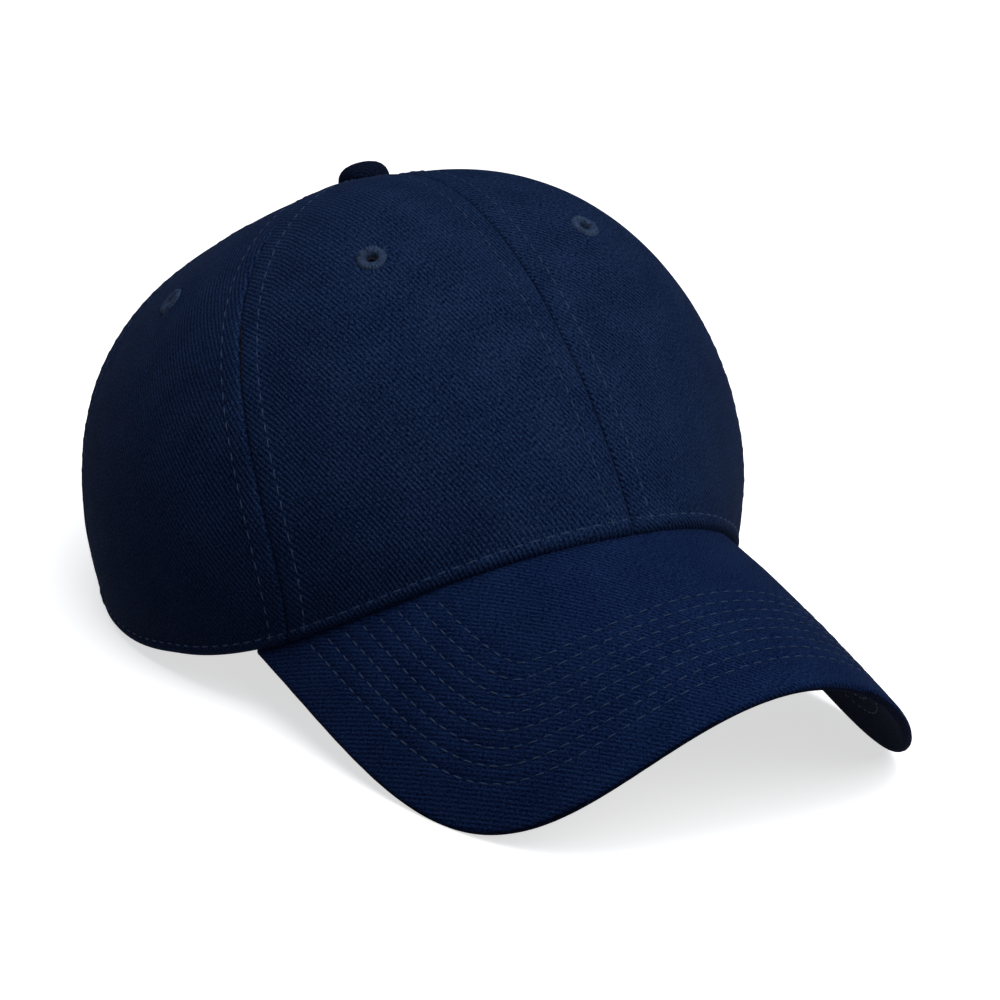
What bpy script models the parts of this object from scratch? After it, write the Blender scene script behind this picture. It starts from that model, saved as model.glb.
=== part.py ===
"""Structured six-panel cap with a pre-curved peak, as it rests on its back rim and its peak corners.

Metres, +Z up. The surface it rests on is z = 0, the peak points along -Y and the wearer's left is +X.
Angles round the crown run from the front, positive towards the wearer's left. Each piece is worked
out from the middle of the rim, and at the end the origin goes below the middle of the whole cap.
"""
import math

import bmesh
import bpy
import numpy as np
from mathutils import Vector

# Rim, an oval round the Z axis
RIM_HALF_WIDTH = 0.0799
RIM_HALF_LENGTH = 0.1067

# Apex of the crown, where the button sits, tilted back as the cap rests
APEX_HEIGHT = 0.1210
APEX_BACK = 0.0335
APEX_TILT = math.radians(29.5)

# Crown profiles: each is a curve from the rim to the apex with two handles
CROWN_PROFILES = (
    # angle from the front, lean outwards at the rim, lower handle / height, upper handle / reach
    (0, -25.0, 0.207, 0.507),
    (60, 23.3, 0.486, 0.762),
    (120, 20.3, 0.602, 0.749),
    (180, 31.4, 0.714, 0.540),
)

# Seams from the front to the back, mirrored on the other side
SEAMS = {
    # name: angle at the rim, direction at the apex
    "front": (0.0, 0.0),
    "front_side": (61.5, 55.0),
    "back_side": (120.0, 125.0),
    "back": (180.0, 180.0),
}
SEAM_STRAIGHT_FROM = 0.8

# Cloth and the gap between pieces
CLOTH = 0.0020
CLEARANCE = 0.0003
PANELS = {
    # name: seam before it, seam behind it
    "front": ("front", "front_side"),
    "middle": ("front_side", "back_side"),
    "back": ("back_side", "back"),
}
SIDES = {"left": 1, "right": -1}
PANEL_ROWS = 17
PANEL_COLUMNS = 9
NARROW_STRIP = 0.33

# Seam tapes inside the crown, from the one against the panels to the innermost
TAPE_WIDTH = 0.0160
TAPE_THICKNESS = 0.0006
TAPES = (
    # name, first seam and its side, last seam and its side
    ("seam_tape_centre", "front", "left", "back", "left"),
    ("seam_tape_from_left", "front_side", "left", "back_side", "right"),
    ("seam_tape_from_right", "front_side", "right", "back_side", "left"),
)
CROSSING_RADIUS = 0.0175
CROSSING_FADE = 0.0300
CROSSING_STATIONS = 9
TAPE_ABOVE_OPENING = 0.0040

# Covered button on the apex and its rivet
BUTTON_RADIUS = 0.0073
BUTTON_HEIGHT = 0.0058
BUTTON_PROFILE = (
    # radius share, height share
    (0.0, 1.0),
    (0.5, 0.96),
    (0.8, 0.84),
    (0.96, 0.62),
    (1.0, 0.36),
    (0.95, 0.0),
)
SHANK_RADIUS = 0.0020
SHANK_SOCKET = 0.0020
RIVET_RADIUS = 0.0035
RIVET_DOME = 0.0018
RIVET_PROFILE = (
    # radius share, dome share
    (1.0, 0.0),
    (0.93, 0.45),
    (0.72, 0.78),
    (0.4, 0.95),
    (0.0, 1.0),
)

# Eyelets, one in each panel
EYELETS = (
    # panel, side, run of cloth from the apex, share of the way back across the panel
    ("front", "left", 0.0785, 0.450),
    ("front", "right", 0.0815, 0.610),
    ("middle", "left", 0.0720, 0.500),
    ("middle", "right", 0.0720, 0.500),
    ("back", "left", 0.0700, 0.500),
    ("back", "right", 0.0700, 0.500),
)
EYELET_RADIUS = 0.00435
EYELET_BORE = 0.0016
EYELET_SLEEVE = 0.0023
EYELET_BEAD = 0.0007
EYELET_INNER_GAP = 0.0006
BEAD_SLOPE = 0.3

# Peak: its upper face falls forwards from the middle of the joint and arches down to both sides.
# The arch is a depth at the rim's half width, and the shoulder makes its sides steeper: each is
# given at the joint, then its growth over the projection, then the growth of that growth
PEAK_PROJECTION = 0.0736
PEAK_THICKNESS = 0.0030
PEAK_EDGE_ROUND = 0.0010
PEAK_PITCH = 0.198
PEAK_SAG = 0.0010
PEAK_ARCH = (0.0459, 0.0055, 0.0169)
PEAK_SHOULDER = (0.0273, 0.0178)
PEAK_TIP_ANGLE = math.radians(67.8)
PEAK_TIP_FLARE = math.radians(3.2)
PEAK_FRONT_HANDLE = 0.778
PEAK_TIP_HANDLE = 0.771
PEAK_MARGIN = 0.0048
PEAK_COLUMNS = 38
PEAK_ROWS = 8

# Where the rim leaves the peak and comes down to the surface
RIM_BLEND = 0.0030
RIM_DOWN_FROM = -0.0100
RIM_DOWN_TO = 0.0400

# Sweatband, back opening and its strap
SWEATBAND_HEIGHT = 0.0320
SWEATBAND_THICKNESS = 0.0012
SWEATBAND_GAP = 0.0012
SWEATBAND_COLUMNS = 46
OPENING_HALF_WIDTH = 0.0440
OPENING_HEIGHT = 0.0420
STRAP_HEIGHT = 0.0200
STRAP_THICKNESS = 0.0015
STRAP_GAP = 0.0008
STRAP_LAP = 0.0130
STRAP_COLUMNS = 22
BAND_ROWS = 3

# Fineness of round pieces, cutters and measured curves
TURN_STEPS = 12
BUTTON_STEPS = 20
CURVE_SAMPLES = 48
SMALL_STEP = 0.002
CUTTER_REACH = 0.0300
HOLE_REACH = 0.0100
MERGE_DISTANCE = 0.000002
SMOOTH_BELOW = math.radians(35.0)

# Colours, linear
NAVY = (0.0075, 0.014, 0.042, 1.0)
DARK_NAVY = (0.005, 0.009, 0.028, 1.0)
INNER_NAVY = (0.014, 0.010, 0.035, 1.0)
GOLD = (0.90, 0.42, 0.10, 1.0)
SILVER = (0.80, 0.80, 0.82, 1.0)


def clear_scene():
    """Remove every object that the file opens with."""
    for item in list(bpy.data.objects):
        bpy.data.objects.remove(item)


def make_material(name, colour, roughness, metallic=0.0):
    """One Principled material."""
    material = bpy.data.materials.new(name)
    material.use_nodes = True
    shader = material.node_tree.nodes["Principled BSDF"]
    shader.inputs["Base Color"].default_value = colour
    shader.inputs["Roughness"].default_value = roughness
    shader.inputs["Metallic"].default_value = metallic
    return material


def smooth(share):
    """Ease from 0 to 1."""
    share = min(max(share, 0.0), 1.0)
    return share * share * (3.0 - 2.0 * share)


def bezier(handles, t):
    """Point on a cubic curve."""
    s = 1.0 - t
    weights = (s ** 3, 3 * s * s * t, 3 * s * t * t, t ** 3)
    return sum(weight * handle for weight, handle in zip(weights, handles))


def rim_plan(angle):
    """Point of the rim's oval in plan."""
    return np.array([RIM_HALF_WIDTH * math.sin(angle), -RIM_HALF_LENGTH * math.cos(angle)])


def rim_outward(angle):
    """Outward direction across the rim's oval in plan."""
    normal = np.array([math.sin(angle) / RIM_HALF_WIDTH, -math.cos(angle) / RIM_HALF_LENGTH])
    return normal / np.linalg.norm(normal)


# Peak


def peak_fall(x, y):
    """How far the peak's sewing face lies below its crest at the middle of the joint."""
    ahead = -(y + RIM_HALF_LENGTH)
    across = abs(x) / RIM_HALF_WIDTH
    out = ahead / PEAK_PROJECTION
    arch = PEAK_ARCH[0] + PEAK_ARCH[1] * out + PEAK_ARCH[2] * out ** 2
    shoulder = PEAK_SHOULDER[0] + PEAK_SHOULDER[1] * out
    return PEAK_PITCH * ahead + PEAK_SAG * out ** 2 + arch * across ** 2 + shoulder * across ** 4


def peak_down(x, y):
    """Unit direction from the peak's upper face into its board."""
    slope_x = (peak_fall(x + SMALL_STEP, y) - peak_fall(x - SMALL_STEP, y)) / (2 * SMALL_STEP)
    slope_y = (peak_fall(x, y + SMALL_STEP) - peak_fall(x, y - SMALL_STEP)) / (2 * SMALL_STEP)
    down = -np.array([slope_x, slope_y, 1.0])
    return down / np.linalg.norm(down)


def peak_edge(share):
    """Plan point of the outer edge, from the right tip at -1 to the left tip at 1."""
    front = np.array([0.0, -(RIM_HALF_LENGTH + PEAK_PROJECTION)])
    tip = rim_plan(PEAK_TIP_ANGLE)
    front_reach = np.array([PEAK_FRONT_HANDLE * tip[0], 0.0])
    tip_length = PEAK_TIP_HANDLE * (tip[1] - front[1])
    tip_reach = tip_length * np.array([math.sin(PEAK_TIP_FLARE), -math.cos(PEAK_TIP_FLARE)])
    point = bezier((front, front + front_reach, tip + tip_reach, tip), abs(share))
    return np.array([math.copysign(point[0], share), point[1]])


def peak_faces():
    """Upper and lower face of the peak, a row for each place across it, with its crest at z = 0."""
    upper = []
    lower = []
    for share in np.linspace(-1.0, 1.0, PEAK_COLUMNS + 1):
        angle = share * PEAK_TIP_ANGLE
        inner = rim_plan(angle) - PEAK_MARGIN * rim_outward(angle)
        outer = peak_edge(share)
        length = np.linalg.norm(outer - inner)
        top_row = []
        bottom_row = []
        for run in np.linspace(0.0, length - PEAK_EDGE_ROUND, PEAK_ROWS):
            x, y = inner + (outer - inner) * run / length
            top = np.array([x, y, -peak_fall(x, y) - CLEARANCE])
            top_row.append(top)
            bottom_row.append(top + PEAK_THICKNESS * peak_down(x, y))
        x, y = outer
        edge = np.array([x, y, -peak_fall(x, y) - CLEARANCE]) + PEAK_THICKNESS / 2 * peak_down(x, y)
        upper.append(top_row + [edge])
        lower.append(bottom_row + [edge])
    return np.array(upper), np.array(lower)


PEAK_UPPER, PEAK_LOWER = peak_faces()
PEAK_CREST = -min(PEAK_UPPER[..., 2].min(), PEAK_LOWER[..., 2].min())


# Crown


def profile_series(column):
    """Cosine series through one column of the profiles, so that it runs smoothly round the crown."""
    angles = np.radians([row[0] for row in CROWN_PROFILES])
    values = [row[column] for row in CROWN_PROFILES]
    return np.linalg.solve(np.cos(np.outer(angles, range(len(angles)))), values)


LEAN_SERIES, LOWER_SERIES, UPPER_SERIES = (profile_series(column) for column in (1, 2, 3))


def along_series(series, angle):
    """Value of a cosine series at an angle."""
    return sum(term * math.cos(order * angle) for order, term in enumerate(series))


def rim_height(x, y):
    """Height of the crown's lower edge: on the peak in front, on the surface behind."""
    raised = PEAK_CREST - peak_fall(x, y)
    meets = RIM_BLEND * math.log1p(math.exp(raised / RIM_BLEND))
    return meets * (1.0 - smooth((y - RIM_DOWN_FROM) / (RIM_DOWN_TO - RIM_DOWN_FROM)))


def crown_point(angle, t):
    """Point of the crown's outer face, from the rim at t = 0 to the apex at t = 1."""
    x, y = rim_plan(angle)
    base = np.array([x, y, rim_height(x, y)])
    apex = np.array([0.0, APEX_BACK, APEX_HEIGHT])
    reach = math.hypot(x, y - APEX_BACK)
    out = np.array([x, y - APEX_BACK, 0.0]) / reach
    lean = math.radians(along_series(LEAN_SERIES, angle))
    rise = along_series(LOWER_SERIES, angle) * (APEX_HEIGHT - base[2])
    upright = base + rise * (math.sin(lean) * out + np.array([0.0, 0.0, math.cos(lean)]))
    over = np.array([out[0], out[1], -out[1] * math.tan(APEX_TILT)])
    flat = apex + along_series(UPPER_SERIES, angle) * reach * over
    return bezier((base, upright, flat, apex), t)


def crown_outward(angle, t):
    """Unit outward direction of the crown's outer face."""
    round_it = crown_point(angle + SMALL_STEP, t) - crown_point(angle - SMALL_STEP, t)
    up_it = crown_point(angle, t + SMALL_STEP) - crown_point(angle, t - SMALL_STEP)
    outward = np.cross(round_it, up_it)
    return outward / np.linalg.norm(outward)


def crown_layer(angle, t, depth):
    """Point at a depth inside the outer face."""
    return crown_point(angle, t) - depth * crown_outward(angle, t)


def rim_layer(angle, depth):
    """Point at a depth inside the rim, level with the crown's lower edge there."""
    lean = math.radians(along_series(LEAN_SERIES, angle))
    x, y = rim_plan(angle) - depth / math.cos(lean) * rim_outward(angle)
    return np.array([x, y, rim_height(x, y)])


def apex_to_rim(direction):
    """Rim angle that a line from the apex reaches, from its direction in the apex's own plane."""
    x = math.sin(direction)
    y = -math.cos(direction) * math.cos(APEX_TILT)
    square = (x / RIM_HALF_WIDTH) ** 2 + (y / RIM_HALF_LENGTH) ** 2
    linear = y * APEX_BACK / RIM_HALF_LENGTH ** 2
    rest = (APEX_BACK / RIM_HALF_LENGTH) ** 2 - 1.0
    run = (-linear + math.sqrt(linear ** 2 - square * rest)) / square
    return math.atan2(run * x / RIM_HALF_WIDTH, -(APEX_BACK + run * y) / RIM_HALF_LENGTH)


def seam_angle(seam, t):
    """Rim angle of the profile that a seam crosses at height t."""
    at_rim = math.radians(SEAMS[seam][0])
    at_apex = apex_to_rim(math.radians(SEAMS[seam][1]))
    return at_rim + (at_apex - at_rim) * smooth(t / SEAM_STRAIGHT_FROM)


def panel_angles(panel, t):
    """Rim angles of a panel's points at height t, spaced along the cloth with a tape's width at each seam."""
    before, behind = PANELS[panel]
    coarse = np.linspace(seam_angle(before, t), seam_angle(behind, t), CURVE_SAMPLES)
    points = np.array([crown_point(angle, t) for angle in coarse])
    run = np.concatenate([[0.0], np.cumsum(np.linalg.norm(np.diff(points, axis=0), axis=1))])
    beside = min(TAPE_WIDTH / 2, run[-1] * NARROW_STRIP)
    middle = np.linspace(beside, run[-1] - beside, PANEL_COLUMNS)
    marks = np.concatenate([[CLEARANCE / 2], middle, [run[-1] - CLEARANCE / 2]])
    return np.interp(marks, run, coarse)


def apex_share(radius):
    """Height t at which the crown's steepest profile, the back one, is a radius away from the apex."""
    reach = RIM_HALF_LENGTH - APEX_BACK
    return 1.0 - radius / (3 * CROWN_PROFILES[-1][3] * reach)


PANEL_HEIGHTS = np.linspace(0.0, apex_share(SHANK_RADIUS + 2 * CLEARANCE), PANEL_ROWS + 1)


def height_for(angle_at, passes):
    """Lowest t whose point passes a test, on the line of rim angles that angle_at gives."""
    low, high = 0.0, 1.0
    for _ in range(CURVE_SAMPLES):
        middle = (low + high) / 2
        if passes(crown_point(angle_at(middle), middle)):
            high = middle
        else:
            low = middle
    return high


def height_along(angle, run):
    """Height t that lies a run of cloth above the rim."""
    heights = np.linspace(0.0, 1.0, CURVE_SAMPLES)
    points = np.array([crown_point(angle, t) for t in heights])
    runs = np.concatenate([[0.0], np.cumsum(np.linalg.norm(np.diff(points, axis=0), axis=1))])
    return np.interp(run, runs, heights)


# Meshes


def finish_mesh(name, form, material):
    """Turn a bmesh into a smooth-shaded object."""
    bmesh.ops.recalc_face_normals(form, faces=form.faces)
    mesh = bpy.data.meshes.new(name)
    form.to_mesh(mesh)
    form.free()
    mesh.shade_smooth()
    mesh.set_sharp_from_angle(angle=SMOOTH_BELOW)
    item = bpy.data.objects.new(name, mesh)
    bpy.context.collection.objects.link(item)
    if material:
        mesh.materials.append(material)
    return item


def sheet_solid(name, front, back, material):
    """Closed sheet between two grids of points, with walls round its border."""
    form = bmesh.new()
    grids = [[[form.verts.new(point) for point in row] for row in grid] for grid in (front, back)]
    for grid in grids:
        for row, following in zip(grid, grid[1:]):
            for column in range(len(row) - 1):
                corners = (row[column], row[column + 1], following[column + 1], following[column])
                form.faces.new(corners)
    borders = []
    for grid in grids:
        left = [row[0] for row in grid]
        right = [row[-1] for row in grid]
        borders.append(grid[0] + right[1:] + grid[-1][-2::-1] + left[-2:0:-1])
    count = len(borders[0])
    for index in range(count):
        following = (index + 1) % count
        one, other = borders
        form.faces.new((one[index], one[following], other[following], other[index]))
    bmesh.ops.remove_doubles(form, verts=form.verts, dist=MERGE_DISTANCE)
    bmesh.ops.dissolve_degenerate(form, edges=form.edges, dist=MERGE_DISTANCE)
    bmesh.ops.triangulate(form, faces=form.faces, quad_method="FIXED")
    return finish_mesh(name, form, material)


def turned_solid(name, profile, steps, material):
    """Solid turned round Z from a profile of (radius, height), closed on itself or on the axis."""
    form = bmesh.new()
    rings = []
    for radius, height in profile:
        if radius == 0.0:
            rings.append([form.verts.new((0.0, 0.0, height))] * steps)
        else:
            turns = [2 * math.pi * step / steps for step in range(steps)]
            rings.append([form.verts.new((radius * math.cos(a), radius * math.sin(a), height)) for a in turns])
    if profile[0][0] > 0.0:
        rings.append(rings[0])
    for ring, following in zip(rings, rings[1:]):
        for step in range(steps):
            after = (step + 1) % steps
            corners = (ring[step], ring[after], following[after], following[step])
            form.faces.new(list(dict.fromkeys(corners)))
    return finish_mesh(name, form, material)


def place(item, point, direction):
    """Set an object at a point with its Z along a direction."""
    item.location = Vector(point)
    item.rotation_mode = "QUATERNION"
    item.rotation_quaternion = Vector(direction).to_track_quat("Z", "Y")


def make_cutter(item):
    """Keep an object as a guide for cuts alone."""
    item.hide_render = True
    item.display_type = "WIRE"
    return item


def cut(item, cutter):
    """Cut one object out of another."""
    step = item.modifiers.new("cut_" + cutter.name, "BOOLEAN")
    step.operation = "DIFFERENCE"
    step.solver = "EXACT"
    step.object = cutter


def rod_cutter(name, radius, half_length):
    """Round rod along Z for a hole."""
    profile = ((0.0, half_length), (radius, half_length), (radius, -half_length), (0.0, -half_length))
    return make_cutter(turned_solid(name, profile, BUTTON_STEPS, None))


# Pieces


def make_panel(panel, side, material):
    """One crown panel, a curved wall between two seams."""
    outer = []
    inner = []
    for t in PANEL_HEIGHTS:
        angles = SIDES[side] * panel_angles(panel, t)
        outer.append([crown_point(angle, t) for angle in angles])
        if t == 0.0:
            inner.append([rim_layer(angle, CLOTH) for angle in angles])
        else:
            inner.append([crown_layer(angle, t, CLOTH) for angle in angles])
    return sheet_solid(f"{panel}_panel_{side}", outer, inner, material)


def eyelet_place(panel, side, run, share):
    """Point and outward direction of an eyelet, a run of cloth down a panel from the apex."""
    before, behind = PANELS[panel]

    def angle_at(t):
        """Rim angle of the line that the eyelet lies on."""
        return SIDES[side] * ((1.0 - share) * seam_angle(before, t) + share * seam_angle(behind, t))

    heights = np.linspace(1.0, 0.0, CURVE_SAMPLES)
    points = np.array([crown_point(angle_at(t), t) for t in heights])
    runs = np.concatenate([[0.0], np.cumsum(np.linalg.norm(np.diff(points, axis=0), axis=1))])
    t = np.interp(run, runs, heights)
    return crown_point(angle_at(t), t), crown_outward(angle_at(t), t)


def make_eyelet(panel, side, run, share, item, material):
    """Stitched eyelet: a bead on each face of the cloth, joined through a hole in the panel."""
    point, outward = eyelet_place(panel, side, run, share)
    slope = BEAD_SLOPE * (EYELET_RADIUS - EYELET_BORE)
    top = CLEARANCE
    bottom = -(CLOTH + EYELET_INNER_GAP)
    profile = (
        (EYELET_BORE, top),
        (EYELET_BORE + slope, top + EYELET_BEAD),
        (EYELET_RADIUS - slope, top + EYELET_BEAD),
        (EYELET_RADIUS, top),
        (EYELET_SLEEVE, top),
        (EYELET_SLEEVE, bottom),
        (EYELET_RADIUS, bottom),
        (EYELET_RADIUS - slope, bottom - EYELET_BEAD),
        (EYELET_BORE + slope, bottom - EYELET_BEAD),
        (EYELET_BORE, bottom),
    )
    name = f"{panel}_eyelet_{side}"
    place(turned_solid(name, profile, TURN_STEPS, material), point, outward)
    hole = rod_cutter("hole_" + name, EYELET_SLEEVE + CLEARANCE, HOLE_REACH)
    place(hole, point, outward)
    cut(item, hole)


def opening_cutter():
    """Arch through the back of the crown."""
    form = bmesh.new()
    turns = [math.pi * step / BUTTON_STEPS for step in range(BUTTON_STEPS + 1)]
    arch = [(OPENING_HALF_WIDTH * math.cos(a), OPENING_HEIGHT * math.sin(a)) for a in turns]
    arch += [(-OPENING_HALF_WIDTH, -CUTTER_REACH), (OPENING_HALF_WIDTH, -CUTTER_REACH)]
    near = [form.verts.new((x, APEX_BACK, z)) for x, z in arch]
    face = form.faces.new(near)
    pulled = bmesh.ops.extrude_face_region(form, geom=[face])
    moved = [item for item in pulled["geom"] if isinstance(item, bmesh.types.BMVert)]
    shift = Vector((0.0, RIM_HALF_LENGTH - APEX_BACK + CUTTER_REACH, 0.0))
    bmesh.ops.translate(form, verts=moved, vec=shift)
    return make_cutter(finish_mesh("back_opening", form, None))


def beside_seam(seam, t):
    """Rim angles half a tape before a seam, on it and half a tape behind it."""
    middle = seam_angle(seam, t)
    ends = [panel for panel, seams in PANELS.items() if seams[1] == seam]
    starts = [panel for panel, seams in PANELS.items() if seams[0] == seam]
    before = panel_angles(ends[0], t)[-2] if ends else 2 * middle - panel_angles(starts[0], t)[1]
    behind = panel_angles(starts[0], t)[1] if starts else 2 * middle - before
    return before, middle, behind


def apex_layer(along, across, direction, depth):
    """Point at a depth inside the crown near the apex, from its place in the apex's own plane."""
    x = along * math.sin(direction) + across * math.cos(direction)
    forward = along * math.cos(direction) - across * math.sin(direction)
    target = math.hypot(x, forward)
    if target < MERGE_DISTANCE:
        outward = np.array([0.0, math.sin(APEX_TILT), math.cos(APEX_TILT)])
        return np.array([0.0, APEX_BACK, APEX_HEIGHT]) - depth * outward
    angle = apex_to_rim(math.atan2(x, forward))
    plan = math.hypot(x, forward * math.cos(APEX_TILT))
    t = height_for(lambda _: angle, lambda point: math.hypot(point[0], point[1] - APEX_BACK) < plan)
    return crown_layer(angle, t, depth)


def tape_half(seam, side, stop, rise):
    """Stations of a tape down one seam, from the apex's crossing to the rim: lists of (place, depth)."""
    base = CLOTH + CLEARANCE
    direction = side * math.radians(SEAMS[seam][1])
    half = side * TAPE_WIDTH / 2
    rows = []
    for along in np.linspace(0.0, CROSSING_FADE, CROSSING_STATIONS)[1:-1]:
        lifted = base + rise * smooth((CROSSING_FADE - along) / (CROSSING_FADE - CROSSING_RADIUS))
        rows.append([(lambda depth, a=along, w=across: apex_layer(a, w, direction, depth), lifted)
                     for across in (-half, 0.0, half)])
    inside = height_for(lambda t: side * seam_angle(seam, t),
                        lambda point: math.hypot(point[0], point[1] - APEX_BACK) < CROSSING_FADE)
    for t in [t for t in PANEL_HEIGHTS[::-1] if stop < t < inside] + [stop]:
        angles = [side * angle for angle in beside_seam(seam, t)]
        if t == 0.0:
            rows.append([(lambda depth, a=angle: rim_layer(a, depth), base) for angle in angles])
        else:
            rows.append([(lambda depth, a=angle, h=t: crown_layer(a, h, depth), base) for angle in angles])
    return rows


def make_tape(layer, name, first, first_side, last, last_side, material):
    """One seam tape from rim to rim over the apex, lifted over the tapes that it crosses."""
    rise = layer * (TAPE_THICKNESS + CLEARANCE)
    halves = []
    for seam, side in ((first, first_side), (last, last_side)):
        stop = 0.0
        if seam == "back":
            top = OPENING_HEIGHT + TAPE_ABOVE_OPENING
            stop = height_for(lambda t: math.pi, lambda point: point[2] > top)
        halves.append(tape_half(seam, SIDES[side], stop, rise))
    direction = SIDES[first_side] * math.radians(SEAMS[first][1])
    half = SIDES[first_side] * TAPE_WIDTH / 2
    depth = CLOTH + CLEARANCE + rise
    middle = [(lambda d, w=across: apex_layer(0.0, w, direction, d), depth) for across in (-half, 0.0, half)]
    order = -1 if first_side == last_side else 1
    stations = halves[0][::-1] + [middle] + [row[::order] for row in halves[1]]
    outer = [[place_at(depth) for place_at, depth in row] for row in stations]
    inner = [[place_at(depth + TAPE_THICKNESS) for place_at, depth in row] for row in stations]
    return sheet_solid(name, outer, inner, material)


def make_button(material):
    """Cloth-covered button with a socket for the rivet's shank."""
    dome = [(BUTTON_RADIUS * r, BUTTON_HEIGHT * h) for r, h in BUTTON_PROFILE]
    socket = SHANK_RADIUS + CLEARANCE
    profile = dome + [(socket, 0.0), (socket, SHANK_SOCKET), (0.0, SHANK_SOCKET)]
    seat = CLEARANCE
    return place_on_apex(turned_solid("top_button", profile, BUTTON_STEPS, material), seat)


def make_rivet(material):
    """Rivet whose shank goes up into the button and whose domed head holds the tapes."""
    head = -(CLOTH + len(TAPES) * (CLEARANCE + TAPE_THICKNESS) + CLEARANCE)
    top = SHANK_SOCKET
    profile = [(0.0, top), (SHANK_RADIUS, top), (SHANK_RADIUS, head)]
    profile += [(RIVET_RADIUS * r, head - RIVET_DOME * h) for r, h in RIVET_PROFILE]
    return place_on_apex(turned_solid("button_rivet", profile, BUTTON_STEPS, material), 0.0)


def place_on_apex(item, lift):
    """Set a turned piece on the apex's own axis."""
    outward = np.array([0.0, math.sin(APEX_TILT), math.cos(APEX_TILT)])
    place(item, np.array([0.0, APEX_BACK, APEX_HEIGHT]) + lift * outward, outward)
    return item


def make_peak(material):
    """Peak board covered in cloth, with its sewing margin under the crown's edge."""
    lift = np.array([0.0, 0.0, PEAK_CREST])
    return sheet_solid("peak", PEAK_UPPER + lift, PEAK_LOWER + lift, material)


def make_band(name, angles, height, depth, thickness, material):
    """Band that stands inside the rim, with its lower edge level with the crown's."""
    outer = []
    inner = []
    for row in range(BAND_ROWS + 1):
        run = height * row / BAND_ROWS
        if row == 0:
            outer.append([rim_layer(angle, depth) + lift_edge() for angle in angles])
            inner.append([rim_layer(angle, depth + thickness) + lift_edge() for angle in angles])
        else:
            heights = [height_along(angle, run) for angle in angles]
            outer.append([crown_layer(a, t, depth) for a, t in zip(angles, heights)])
            inner.append([crown_layer(a, t, depth + thickness) for a, t in zip(angles, heights)])
    return sheet_solid(name, outer, inner, material)


def lift_edge():
    """Small lift that keeps a band's lower edge off what the crown stands on."""
    return np.array([0.0, 0.0, CLEARANCE])


def make_bands(sweatband_material, strap_material):
    """Sweatband round the front and sides, and the strap that closes the rim behind it."""
    strap_end = math.pi - math.asin((OPENING_HALF_WIDTH + STRAP_LAP) / RIM_HALF_WIDTH)
    sweatband_end = strap_end - 2 * CLEARANCE / RIM_HALF_WIDTH
    angles = np.linspace(-sweatband_end, sweatband_end, SWEATBAND_COLUMNS + 1)
    depth = CLOTH + CLEARANCE + TAPE_THICKNESS + SWEATBAND_GAP
    make_band("sweatband", angles, SWEATBAND_HEIGHT, depth, SWEATBAND_THICKNESS, sweatband_material)
    angles = np.linspace(strap_end, 2 * math.pi - strap_end, STRAP_COLUMNS + 1)
    depth = CLOTH + STRAP_GAP
    make_band("back_strap", angles, STRAP_HEIGHT, depth, STRAP_THICKNESS, strap_material)


def centre_on_origin():
    """Move every piece so that the origin is below the middle of the whole cap."""
    bpy.context.view_layer.update()
    shown = [item for item in bpy.data.objects if not item.hide_render]
    ends = [(item.matrix_world @ vert.co).y for item in shown for vert in item.data.vertices]
    for item in bpy.data.objects:
        item.location.y -= (min(ends) + max(ends)) / 2


def build():
    """Make the whole cap."""
    clear_scene()
    twill = make_material("navy_twill", NAVY, 0.9)
    button_cloth = make_material("navy_button_cloth", DARK_NAVY, 0.85)
    thread = make_material("navy_thread", NAVY, 0.7)
    inner_cloth = make_material("navy_sweatband_cloth", INNER_NAVY, 0.9)
    tape_cloth = make_material("gold_tape", GOLD, 0.85)
    metal = make_material("silver_metal", SILVER, 0.25, 1.0)
    opening = opening_cutter()
    for panel, side, run, share in EYELETS:
        item = make_panel(panel, side, twill)
        make_eyelet(panel, side, run, share, item, thread)
        if panel == "back":
            cut(item, opening)
    shank_hole = rod_cutter("shank_hole", SHANK_RADIUS + CLEARANCE, HOLE_REACH)
    place_on_apex(shank_hole, 0.0)
    for layer, row in enumerate(TAPES):
        cut(make_tape(layer, *row, tape_cloth), shank_hole)
    make_button(button_cloth)
    make_rivet(metal)
    make_peak(twill)
    make_bands(inner_cloth, twill)
    centre_on_origin()


build()
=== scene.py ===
"""Sun protection cap: a structured six-panel cap in navy twill, resting on its back rim and its peak corners.

Metres, +Z up, the peak points along -Y and the wearer's left is +X. Each piece is worked out from the
middle of the rim and then moved by SHIFT, so that the origin is below the middle of the whole cap.
"""
import math

import bmesh
import bpy
import numpy as np
from mathutils import Matrix, Vector


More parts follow.
